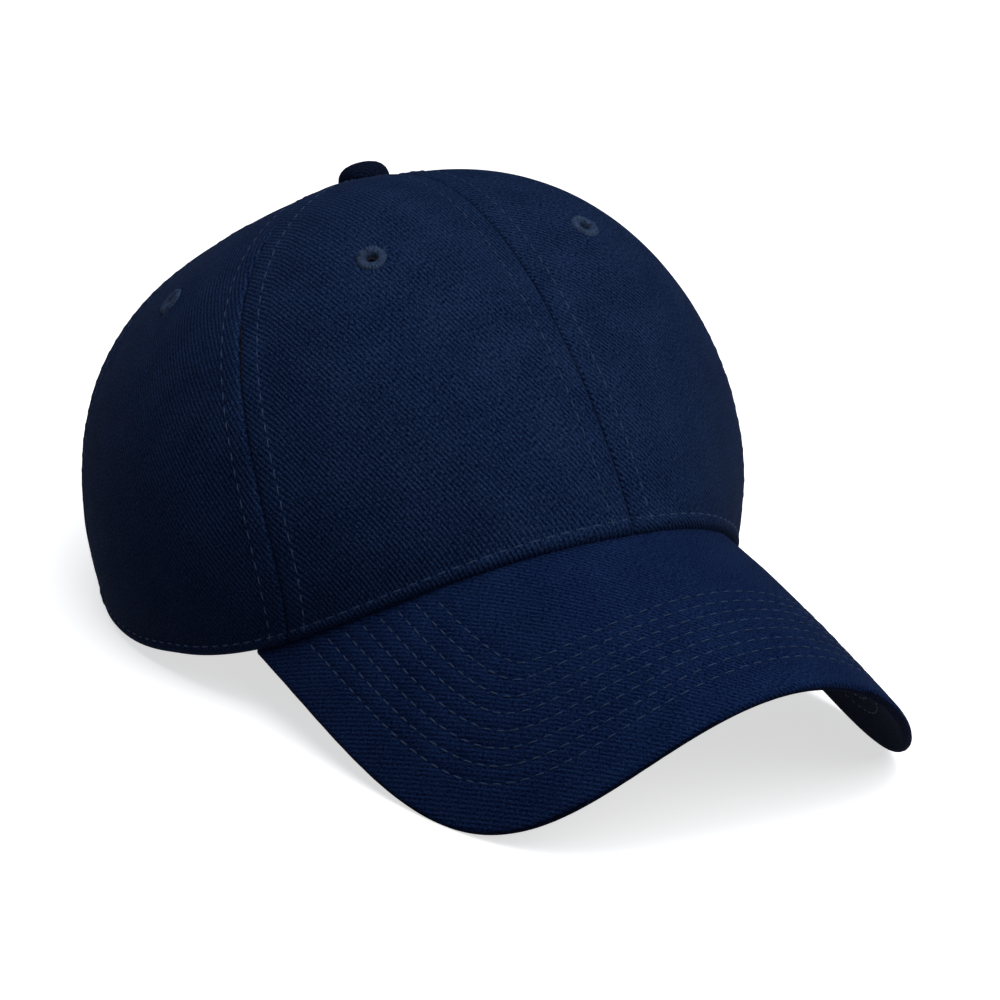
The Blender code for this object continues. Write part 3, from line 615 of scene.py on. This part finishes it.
def beside_seam(seam, t, across):
    """Angles and heights t of points at distances across a seam, square to it over the cloth."""
    angle = np.broadcast_to(seam_angle(seam, t)[:, None], (len(t), len(across))).copy()
    t = np.broadcast_to(t[:, None], angle.shape).copy()
    centre = crown_point(angle, t)
    along = np.gradient(centre, axis=0)
    out = crown_outward(angle, t)
    square = np.cross(along, out)
    target = centre - across[:, None] * square / np.linalg.norm(square, axis=-1, keepdims=True)
    for _ in range(12):
        point = crown_point(angle, t)
        by_angle = (crown_point(angle + 0.001, t) - point) / 0.001
        by_t = (crown_point(angle, t + 0.001) - point) / 0.001
        aa, at, tt = (by_angle ** 2).sum(-1), (by_angle * by_t).sum(-1), (by_t ** 2).sum(-1)
        off_a, off_t = ((target - point) * by_angle).sum(-1), ((target - point) * by_t).sum(-1)
        scale = aa * tt - at ** 2
        angle = angle + (off_a * tt - off_t * at) / scale
        t = np.clip(t + (off_t * aa - off_a * at) / scale, 0.001, 0.99)
    return angle, t


def tape_half(seam, side, stop, across):
    """Angles and heights t of one half of a tape, from the apex to the rim."""
    direction = side * math.radians(SEAMS[seam][1])
    grid_along, grid_across = np.meshgrid(np.arange(0.0, 0.024, 0.0015), across * side, indexing="ij")
    angle_near, t_near = near_apex(np.maximum(grid_along, 0.00001), grid_across, direction)
    heights = np.linspace(t_near[-1, len(across) // 2], stop, 100)
    angle, t = beside_seam(seam, heights, across)
    return np.concatenate([angle_near, side * angle[3:]]), np.concatenate([t_near, t[3:]])


gold_cotton = twill_material("gold_cotton", (0.80, 0.33, 0.055, 1), (1.0, 0.52, 0.13, 1),
                             slant=0, spacing=0.0005, depth=0.00006, wale_share=0.30)
gold_cotton.node_tree.nodes["Principled BSDF"].inputs["Sheen Tint"].default_value = (1.0, 0.8, 0.5, 1.0)
tape_lines = []
across = np.linspace(-TAPE_WIDTH / 2, TAPE_WIDTH / 2, 17)
for layer, (name, first, first_side, last, last_side) in enumerate(TAPES):
    rise = layer * (TAPE_THICKNESS + 0.0003)
    halves = []
    for seam, side in ((first, first_side), (last, last_side)):
        stop = 0.012
        if seam == 3:
            levels = np.linspace(0.0, 1.0, 400)
            stop = float(levels[np.argmax(crown_point(math.pi, levels)[:, 2] > OPENING_HEIGHT + 0.004)])
        angle, t = tape_half(seam, side, stop, across)
        plain = crown_point(angle, t)
        run = runs_along(plain[:, [8]])[:, 0]
        lift = rise * ease((CROSSING_FADE - run) / (CROSSING_FADE - CROSSING_RADIUS))
        wave = 0.00012 * np.sin(run / 0.0035 + layer)
        depth = CLOTH + 0.0003 + lift[:, None] + wave[:, None] * (np.abs(across) / across[-1]) ** 2
        outward = crown_outward(angle, t)
        halves.append((plain - depth[..., None] * outward, outward, run))
    order = -1 if first_side == last_side else 1
    points = np.concatenate([halves[0][0][::-1], halves[1][0][1:, ::order]])
    outward = np.concatenate([halves[0][1][::-1], halves[1][1][1:, ::order]])
    run = np.concatenate([-halves[0][2][::-1], halves[1][2][1:]])
    uv = np.stack(np.broadcast_arrays(across[None, :], run[:, None]), -1)
    form = cloth_grid(name, points, uv)
    piece = finish_piece("cloth_" + name, form, [gold_cotton], away_from_middle)
    thicken(piece, TAPE_THICKNESS)
    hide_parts(name)
    tape_lines.append((points - TAPE_THICKNESS * outward, outward, run))

# Sweatband
# A folded strip of navy cotton round the inside of the rim, held by the hem's row of stitches.
SWEATBAND_HEIGHT, SWEATBAND_THICKNESS = 0.0320, 0.0012
STRAP_LAP = 0.0130


def band_grid(angles, height, depth, rows):
    """Points of a band that stands inside the rim, with the runs round it and up it."""
    heights = np.linspace(0.0, 1.0, 120)
    run = runs_along(crown_point(angles[None, :], heights[:, None]))
    up = np.linspace(0.0, height, rows)
    t = np.array([np.interp(up, run[:, k], heights) for k in range(len(angles))]).T
    grid_angles = np.broadcast_to(angles[None, :], t.shape)
    plain = crown_point(grid_angles, t)
    outward = crown_outward(grid_angles, np.maximum(t, 0.003))
    level = outward * np.array([1.0, 1.0, 0.0])
    level /= np.linalg.norm(level, axis=-1, keepdims=True)
    share = ease(up / 0.006)[:, None, None]
    direction = level * (1.0 - share) + outward * share
    points = plain - depth[..., None] * direction
    around = runs_along(plain[0][:, None])[:, 0]
    return points, np.stack(np.broadcast_arrays(around[None, :], up[:, None]), -1)


strap_end = math.pi - math.asin((OPENING_HALF_WIDTH + STRAP_LAP) / RIM_HALF_WIDTH)
angles = np.linspace(-(strap_end - 0.008), strap_end - 0.008, 260)
up = np.linspace(0.0, 1.0, 22)[:, None]
swell = 0.0007 * np.sin(math.pi * up) + 0.0003 * np.sin(angles / 0.05)[None, :] * up
points, uv = band_grid(angles, SWEATBAND_HEIGHT, CLOTH + 0.0021 - swell * 0.5 + 0.0002, 22)
points[0, :, 2] += 0.0004
form = cloth_grid("sweatband", points, uv)
sweat_cloth = twill_material("sweatband_cloth", (0.006, 0.005, 0.018, 1), (0.030, 0.026, 0.060, 1),
                             slant=45, spacing=0.0007, depth=0.0001)
sweatband = finish_piece("cloth_sweatband", form, [sweat_cloth], away_from_middle)
thicken(sweatband, SWEATBAND_THICKNESS)
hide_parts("sweatband")

# Back strap
# One plain strap of doubled navy twill across the back opening, sewn inside both back panels.
STRAP_HEIGHT, STRAP_THICKNESS, STRAP_GAP = 0.0200, 0.0015, 0.0008
angles = np.linspace(strap_end, 2 * math.pi - strap_end, 120)
depth = np.full((14, 120), CLOTH + STRAP_GAP)
depth += 0.0004 * (np.linspace(-1, 1, 14)[:, None] ** 6)
points, uv = band_grid(angles, STRAP_HEIGHT, depth, 14)
points[0, :, 2] += 0.0004
strap_points = points
form = cloth_grid("back_strap", points, uv)
strap = finish_piece("cloth_back_strap", form, [navy_twill], away_from_middle)
thicken(strap, STRAP_THICKNESS)
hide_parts("back_strap")

# Top button
# A tin shell covered in navy twill, pressed down on the apex over the ends of the seams.
APEX_OUTWARD = Vector((0.0, math.sin(APEX_TILT), math.cos(APEX_TILT)))
APEX_TURN = APEX_OUTWARD.to_track_quat("Z", "Y").to_matrix().to_4x4()
APEX_PLACE = Matrix.Translation((0.0, APEX_BACK, APEX_HEIGHT)) @ APEX_TURN


def spun(profile, steps):
    """Bmesh turned round Z from a profile of (radius, height) points."""
    form = bmesh.new()
    verts = [form.verts.new((radius, 0.0, height)) for radius, height in profile]
    edges = [form.edges.new(pair) for pair in zip(verts, verts[1:])]
    bmesh.ops.spin(form, geom=verts + edges, cent=(0, 0, 0), axis=(0, 0, 1), angle=2 * math.pi,
                   steps=steps, use_merge=True)
    bmesh.ops.remove_doubles(form, verts=form.verts, dist=0.00001)
    bmesh.ops.recalc_face_normals(form, faces=form.faces)
    return form


BUTTON_PROFILE = (
    # radius, height
    (0.0, 0.0065), (0.0020, 0.0065), (0.0036, 0.0063), (0.0050, 0.0058), (0.0061, 0.0050),
    (0.0069, 0.0039), (0.0073, 0.0025), (0.0073, 0.0015), (0.0070, 0.0006), (0.0066, 0.0001),
    (0.0050, -0.0002), (0.0, -0.0002),
)
form = spun(BUTTON_PROFILE, 64)
layer = form.loops.layers.uv.new("cloth")
for face in form.faces:
    for loop in face.loops:
        around = loop.vert.co.xy.normalized()
        loop[layer].uv = around * (loop.vert.co.xy.length + 0.8 * (BUTTON_PROFILE[0][1] - loop.vert.co.z))
PLEATS, PLEAT_DEPTH, PLEAT_HEIGHT = 15, 0.00014, 0.003
for vert in form.verts:
    turn = math.atan2(vert.co.y, vert.co.x)
    low = 1.0 - min(max(vert.co.z / PLEAT_HEIGHT, 0.0), 1.0)
    vert.co += PLEAT_DEPTH * low * math.sin(PLEATS * turn) * Vector((math.cos(turn), math.sin(turn), 0.0))
bmesh.ops.transform(form, matrix=APEX_PLACE, verts=form.verts)
button_twill = twill_material("button_twill", (0.0015, 0.0035, 0.011, 1), (0.010, 0.016, 0.038, 1),
                              slant=45, spacing=0.0011, depth=0.00015)
button = finish_piece("cloth_top_button", form, [button_twill])
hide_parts("top_button")

# Button rivet
# The polished head of the button's rivet, which holds the three tapes under the apex.
head = -(CLOTH + 3 * (0.0003 + TAPE_THICKNESS) + 0.0003)
RIVET_HEAD = (
    # radius, distance below the tapes
    (0.0, 0.0018), (0.0012, 0.00174), (0.0021, 0.00158), (0.0028, 0.00128), (0.0033, 0.0008),
    (0.0035, 0.0004), (0.0034, 0.0), (0.0020, 0.0), (0.0020, -0.0060), (0.0, -0.0060),
)
form = spun([(radius, head - drop) for radius, drop in RIVET_HEAD], 48)
bmesh.ops.transform(form, matrix=APEX_PLACE, verts=form.verts)
polished = bpy.data.materials.new("polished_rivet")
polished.use_nodes = True
tree = polished.node_tree
shader = tree.nodes["Principled BSDF"]
shader.inputs["Metallic"].default_value = 1.0
shader.inputs["Base Color"].default_value = (0.78, 0.78, 0.80, 1)
scuffs = tree.nodes.new("ShaderNodeTexNoise")
scuffs.inputs["Scale"].default_value = 900.0
place = tree.nodes.new("ShaderNodeTexCoord")
tree.links.new(place.outputs["Object"], scuffs.inputs["Vector"])
tree.links.new(math_node(tree, "MULTIPLY_ADD", scuffs.outputs["Fac"], 0.25, 0.12), shader.inputs["Roughness"])
rivet = finish_piece("rivet_head", form, [polished])
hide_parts("button_rivet")

# Eyelets
# A ring of close buttonhole stitches in navy thread round a punched hole, the same on both faces.
EYELET_RADIUS, EYELET_BORE, EYELET_WINDS = 0.00425, 0.0015, 26
EYELET_BEAD, EYELET_CORNERS, WIND_HEIGHT = 0.00075, 12, 0.00034


def thread_material(name, dark, light, strands):
    """Twisted thread, lighter on its raised strands."""
    material = bpy.data.materials.new(name)
    material.use_nodes = True
    tree = material.node_tree
    shader = tree.nodes["Principled BSDF"]
    shader.inputs["Roughness"].default_value = 0.7
    shader.inputs["Specular IOR Level"].default_value = 0.15
    place = tree.nodes.new("ShaderNodeTexCoord")
    fuzz = tree.nodes.new("ShaderNodeTexNoise")
    fuzz.inputs["Scale"].default_value = strands
    fuzz.inputs["Detail"].default_value = 3.0
    tree.links.new(place.outputs["Object"], fuzz.inputs["Vector"])
    mix = tree.nodes.new("ShaderNodeMix")
    mix.data_type = "RGBA"
    mix.inputs[6].default_value = dark
    mix.inputs[7].default_value = light
    tree.links.new(math_node(tree, "MULTIPLY_ADD", fuzz.outputs["Fac"], 2.0, -0.5), mix.inputs[0])
    tree.links.new(mix.outputs[2], shader.inputs["Base Color"])
    bump = tree.nodes.new("ShaderNodeBump")
    bump.inputs["Distance"].default_value = 0.0001
    tree.links.new(fuzz.outputs["Fac"], bump.inputs["Height"])
    tree.links.new(bump.outputs["Normal"], shader.inputs["Normal"])
    return material


navy_thread = thread_material("navy_thread", (0.004, 0.012, 0.036, 1), (0.038, 0.070, 0.150, 1), 2500.0)
eyelet_thread = thread_material("eyelet_thread", (0.002, 0.007, 0.024, 1), (0.042, 0.076, 0.155, 1), 1500.0)


for name in ("front", "middle", "back"):
    for side, ending in ((1, "_left"), (-1, "_right")):
        angle, t = eyelet_spots[name + "_eyelet" + ending]
        outward = Vector(crown_outward(angle, t))
        spot = Vector(crown_point(angle, t))
        form = bmesh.new()
        profile = []
        for k in range(EYELET_CORNERS):
            turn = 2 * math.pi * k / EYELET_CORNERS
            across = (EYELET_RADIUS + EYELET_BORE) / 2 + (EYELET_RADIUS - EYELET_BORE) / 2 * math.cos(turn)
            bulge = math.copysign(abs(math.sin(turn)) ** 0.5, math.sin(turn))
            height = (CLOTH / 2 + EYELET_BEAD) * bulge - CLOTH / 2
            profile.append(form.verts.new((across, 0.0, height)))
        edges = [form.edges.new(pair) for pair in zip(profile, profile[1:] + profile[:1])]
        bmesh.ops.spin(form, geom=profile + edges, cent=(0, 0, 0), axis=(0, 0, 1), angle=2 * math.pi,
                       steps=EYELET_WINDS * 4, use_merge=True)
        bmesh.ops.remove_doubles(form, verts=form.verts, dist=0.00001)
        for vert in form.verts:
            turn = math.atan2(vert.co.y, vert.co.x)
            reach = math.hypot(vert.co.x, vert.co.y)
            wind = 0.5 + 0.5 * math.cos(EYELET_WINDS * turn)
            share = (reach - EYELET_BORE) / (EYELET_RADIUS - EYELET_BORE)
            uneven = 0.00012 * math.sin(5 * turn + side) * share
            loose = 1.0 + 0.5 * math.sin(7 * turn + 2 * side)
            vert.co.z += WIND_HEIGHT * loose * (wind - 0.5) * (1 if vert.co.z > -CLOTH / 2 else -1)
            vert.co.x *= 1 + (uneven + 0.00010 * wind * share) / reach
            vert.co.y *= 1 + (uneven + 0.00010 * wind * share) / reach
        bmesh.ops.recalc_face_normals(form, faces=form.faces)
        place = Matrix.Translation(spot) @ outward.to_track_quat("Z", "Y").to_matrix().to_4x4()
        bmesh.ops.transform(form, matrix=place, verts=form.verts)
        piece = finish_piece("thread_" + name + "_eyelet" + ending, form, [eyelet_thread])
        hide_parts(name + "_eyelet" + ending)

# Stitch rows
# Lockstitches in navy thread: two rows beside each crown seam, one round the hem and eight on the peak.
# Inside, the tapes carry the same rows in dark red-brown thread.
STITCH_PITCH, STITCH_LENGTH, STITCH_THICKNESS = 0.0042, 0.0029, 0.0005
STITCH_LIFT, TOP_ROW_LIFT, UNDER_ROW_LIFT = 0.00008, -0.00014, -0.00010
SEAM_ROWS_END, TAPES_CROSS_WITHIN = 0.0105, 0.0105


def stitch_template():
    """One stitch of six sides, 1 long, 1 wide and 1 high, whose ends dip into the cloth."""
    form = bmesh.new()
    bmesh.ops.create_uvsphere(form, u_segments=6, v_segments=6, radius=0.5)
    bmesh.ops.rotate(form, verts=form.verts, matrix=Matrix.Rotation(math.pi / 2, 3, "Y"))
    for vert in form.verts:
        vert.co.z -= 1.6 * vert.co.x ** 2
    mesh = bpy.data.meshes.new("stitch_template")
    form.to_mesh(mesh)
    form.free()
    return mesh


STITCH = stitch_template()


def sew(form, points, outward, pitch=STITCH_PITCH, length=STITCH_LENGTH, thickness=STITCH_THICKNESS,
        lift=STITCH_LIFT):
    """Lay stitches along a line of points, each in the cloth's own plane."""
    run = runs_along(points[:, None])[:, 0]
    count = max(int(run[-1] / pitch), 1)
    for index in range(count):
        centre = (index + 0.5) * run[-1] / count
        uneven = 0.06 * math.sin(12.9 * index + run[-1] * 900)
        ends = [np.array([np.interp(centre + reach, run, points[:, k]) for k in range(3)])
                for reach in (-length / 2, length / 2)]
        up = Vector([np.interp(centre, run, outward[:, k]) for k in range(3)]).normalized()
        along = Vector(ends[1] - ends[0])
        size = along.length
        along.normalize()
        beside = up.cross(along).normalized()
        up = along.cross(beside)
        along = (along + uneven * beside).normalized()
        beside = up.cross(along)
        middle = Vector((ends[0] + ends[1]) / 2) + lift * up
        turn = Matrix((along * size, beside * thickness, up * thickness * 0.75)).transposed().to_4x4()
        before = len(form.verts)
        form.from_mesh(STITCH)
        form.verts.ensure_lookup_table()
        bmesh.ops.transform(form, matrix=Matrix.Translation(middle) @ turn, verts=form.verts[before:])


form = bmesh.new()
for outer, outward, up, down, opened in panel_faces.values():
    for column in (SEAM_COLUMN, -1 - SEAM_COLUMN):
        on = (down[:, column] > SEAM_ROWS_END) & (up[:, column] > 0.0015) & ~opened[:, column]
        sew(form, outer[on, column], outward[on, column])
seam_stitches = finish_piece("seam_stitches", form, [navy_thread])

form = bmesh.new()
for name, (outer, outward, up, down, opened) in panel_faces.items():
    on = (np.abs(up[HEM_LINE] - HEM_ROW) < 0.0004) & ~opened[HEM_LINE]
    sew(form, outer[HEM_LINE, on], outward[HEM_LINE, on])
    if name.startswith("back"):
        turns = np.linspace(math.asin(HEM_ROW / (OPENING_HEIGHT + HEM_ROW)), math.pi / 2, 90)
        angle, t = back_point((OPENING_HALF_WIDTH + HEM_ROW) * np.cos(turns),
                              (OPENING_HEIGHT + HEM_ROW) * np.sin(turns))
        side = 1 if name.endswith("left") else -1
        line, out = crown_point(side * angle, t), crown_outward(side * angle, t)
        cloth, facing = outer[~opened], outward[~opened]
        for k, place in enumerate(line):
            nearest = np.argmin(((cloth - place) ** 2).sum(-1))
            line[k] += out[k] * (cloth[nearest] - place).dot(facing[nearest])
        sew(form, line, out)
hem_stitches = finish_piece("hem_stitches", form, [navy_thread])


def peak_lines(away):
    """Lines on the peak's upper face at one distance from its outer edge, as runs of points."""
    lines, line = [], []
    for column in range(len(peak_share)):
        inside = from_edge[:, column]
        order = np.argmin(inside)
        if inside[:order + 1].max() <= away:
            if len(line) > 4:
                lines.append(np.array(line))
            line = []
            continue
        start = int(np.argmax(inside[:order + 1]))
        back = inside[start:order + 1][::-1]
        line.append([np.interp(away, back, plan[start:order + 1, column, k][::-1]) for k in range(2)])
    if len(line) > 4:
        lines.append(np.array(line))
    return lines


form = bmesh.new()
for row in range(PEAK_STITCH_ROWS):
    for line in peak_lines(PEAK_ROW_FIRST + row * PEAK_ROW_PITCH):
        line = line[(line[:, 0] / RIM_HALF_WIDTH) ** 2 + (line[:, 1] / RIM_HALF_LENGTH) ** 2 > 1.0]
        if len(line) < 5:
            continue
        points, outward = peak_top(line[:, 0], line[:, 1]), peak_up(line[:, 0], line[:, 1])
        sew(form, points, outward, lift=TOP_ROW_LIFT)
        sew(form, points - outward * PEAK_THICKNESS, -outward, lift=UNDER_ROW_LIFT)
peak_stitches = finish_piece("peak_stitches", form, [navy_thread])

TAPE_PITCH, TAPE_STITCH, TAPE_THREAD = 0.0030, 0.0028, 0.00045
brown_thread = thread_material("brown_thread", (0.030, 0.006, 0.008, 1), (0.12, 0.030, 0.030, 1), 2500.0)
form = bmesh.new()
for layer, (points, outward, run) in enumerate(tape_lines):
    for column in (2, 14):
        if layer < 2:
            for part in (run < -TAPES_CROSS_WITHIN, run > TAPES_CROSS_WITHIN):
                sew(form, points[part, column], -outward[part, column], TAPE_PITCH, TAPE_STITCH, TAPE_THREAD)
        else:
            sew(form, points[:, column], -outward[:, column], TAPE_PITCH, TAPE_STITCH, TAPE_THREAD)
tape_stitches = finish_piece("tape_stitches", form, [brown_thread])

form = bmesh.new()
for row in (2, 11):
    line = strap_points[row]
    level = line * np.array([1.0, 1.0, 0.0])
    sew(form, line, level / np.linalg.norm(level, axis=-1, keepdims=True))
strap_stitches = finish_piece("strap_stitches", form, [navy_thread])
bpy.data.meshes.remove(STITCH)

# Floor, light and camera
# A plain white surface under a broad soft light from above and the front right, seen as in the photo.
form = bmesh.new()
bmesh.ops.create_grid(form, x_segments=1, y_segments=1, size=12.0)
mesh = bpy.data.meshes.new("floor")
form.to_mesh(mesh)
form.free()
floor = bpy.data.objects.new("floor", mesh)
bpy.context.collection.objects.link(floor)
floor_paint = bpy.data.materials.new("pale_floor")
floor_paint.use_nodes = True
shader = floor_paint.node_tree.nodes["Principled BSDF"]
shader.inputs["Base Color"].default_value = (0.92, 0.92, 0.92, 1)
shader.inputs["Emission Color"].default_value = (1, 1, 1, 1)
shader.inputs["Emission Strength"].default_value = 0.66
shader.inputs["Roughness"].default_value = 0.9
shader.inputs["Specular IOR Level"].default_value = 0.1
mesh.materials.append(floor_paint)
floor.visible_diffuse = False

world = bpy.data.worlds.new("studio")
world.use_nodes = True
world.node_tree.nodes["Background"].inputs["Color"].default_value = (0.38, 0.58, 1.0, 1)
world.node_tree.nodes["Background"].inputs["Strength"].default_value = 0.08
bpy.context.scene.world = world
for name, spot, aim, size, watts in (
    # name, place, aimed at, size, watts
    ("key_light", (0.15, -1.35, 1.75), (0.0, -0.02, 0.05), 2.2, 34.0),
    ("top_light", (0.0, -0.1, 2.2), (0.0, 0.0, 0.0), 2.4, 22.0),
):
    lamp = bpy.data.lights.new(name, "AREA")
    lamp.energy = watts
    lamp.size = size
    item = bpy.data.objects.new(name, lamp)
    item.location = spot
    item.rotation_mode = "QUATERNION"
    item.rotation_quaternion = (Vector(spot) - Vector(aim)).to_track_quat("Z", "Y")
    bpy.context.collection.objects.link(item)

CAMERA_AZIMUTH, CAMERA_ELEVATION, CAMERA_ROLL = math.radians(-33.64), math.radians(18.31), math.radians(2.80)
CAMERA_DISTANCE, CAMERA_LENS = 1.1258, 145.4
AIM_AHEAD, AIM_RIGHT, AIM_UP = 0.030, 0.0092, 0.04457
lens = bpy.data.cameras.new("camera")
lens.lens = CAMERA_LENS
lens.sensor_width = 36.0
lens.clip_start, lens.clip_end = 0.05, 50.0
camera = bpy.data.objects.new("camera", lens)
right = Vector((math.cos(CAMERA_AZIMUTH), math.sin(CAMERA_AZIMUTH), 0.0))
back = Vector((math.sin(CAMERA_AZIMUTH) * math.cos(CAMERA_ELEVATION),
               -math.cos(CAMERA_AZIMUTH) * math.cos(CAMERA_ELEVATION), math.sin(CAMERA_ELEVATION)))
up = back.cross(right)
right, up = (math.cos(CAMERA_ROLL) * right + math.sin(CAMERA_ROLL) * up,
             -math.sin(CAMERA_ROLL) * right + math.cos(CAMERA_ROLL) * up)
aim = Vector((0.0, SHIFT - AIM_AHEAD, 0.0)) + AIM_RIGHT * right + AIM_UP * up
camera.rotation_mode = "QUATERNION"
camera.rotation_quaternion = Matrix((right, up, back)).transposed().to_quaternion()
camera.location = aim + CAMERA_DISTANCE * back
bpy.context.collection.objects.link(camera)
bpy.context.scene.camera = camera
bpy.context.scene.view_settings.view_transform = "Standard"
